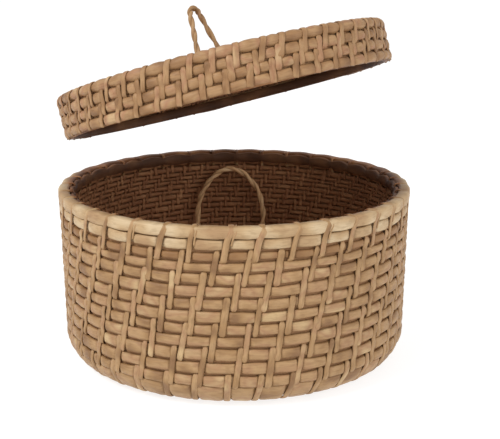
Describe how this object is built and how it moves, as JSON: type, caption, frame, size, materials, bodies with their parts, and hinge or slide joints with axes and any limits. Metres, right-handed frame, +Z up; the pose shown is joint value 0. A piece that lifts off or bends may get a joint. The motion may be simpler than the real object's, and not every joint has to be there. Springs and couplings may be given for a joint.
{
  "type": "lidded wicker basket",
  "caption": "Round woven rattan storage basket with a lashed rim, a separate shallow woven lid and twisted cane loops.",
  "frame": {"origin": "centre of the base, on the surface the basket stands on", "axes": "+Z up through the middle of the basket, -Y towards the front, +X to the right seen from the front"},
  "size_m": [0.3, 0.3, 0.2956],
  "materials": {
    "outer_cane": "natural split rattan, honey tan, satin",
    "rim_cane": "natural split rattan, pale cream tan, satin",
    "dark_cane": "dark brown inner face of the weave, matte",
    "loop_cane": "twisted two-strand cane, tan, satin"
  },
  "bodies": {
    "basket": {"base_mat": "outer_cane", "floor_mat": "dark_cane", "stake_cage": "dark_cane", "corner_row_upper": "outer_cane", "corner_row_lower": "outer_cane", "wall_row_01": "outer_cane", "wall_row_02": "outer_cane", "wall_row_03": "outer_cane", "wall_row_04": "outer_cane", "wall_row_05": "outer_cane", "wall_row_06": "outer_cane", "wall_row_07": "outer_cane", "wall_row_08": "outer_cane", "wall_row_09": "outer_cane", "wall_row_10": "outer_cane", "wall_row_11": "outer_cane", "wall_row_12": "outer_cane", "rim_hoop_inner": "dark_cane", "rim_hoop_outer": "rim_cane", "rim_lashing": "rim_cane", "inner_loop_tie_left": "dark_cane", "inner_loop_tie_right": "dark_cane"},
    "inner_loop": {"inner_loop_strand_1": "loop_cane", "inner_loop_strand_2": "loop_cane"},
    "lid_loop": {"lid_loop_strand_1": "loop_cane", "lid_loop_strand_2": "loop_cane"},
    "lid": {"lid_bottom_hoop": "outer_cane", "lid_row_lower": "outer_cane", "lid_row_upper": "outer_cane", "lid_cage": "dark_cane", "lid_under_mat": "dark_cane", "lid_top_hoop": "rim_cane", "lid_lashing": "rim_cane", "lid_mat": "outer_cane", "lid_tie_front": "rim_cane", "lid_tie_back": "rim_cane"}
  },
  "joints": [
    {"name": "lid_lift", "type": "slide", "parent": "basket", "child": "lid_loop", "axis": [-0.1723, 0.1597, 0.972], "range_m": [-0.0682, 0.045]},
    {"name": "lid_tip", "type": "hinge", "parent": "lid_loop", "child": "lid", "pos_m": [-0.01775, 0.01089, 0.24859], "axis": [-0.6252, -0.7804, 0], "range_deg": [-17.6, 11.61]},
    {"name": "inner_loop_swing", "type": "hinge", "parent": "basket", "child": "inner_loop", "pos_m": [-0.0037, 0.1235, 0.062], "axis": [1, 0, 0], "range_deg": [0, 20]}
  ],
  "couplings": [
    {"joint": "lid_tip", "follows": "lid_lift", "rad_per_m": 4.504}
  ]
}
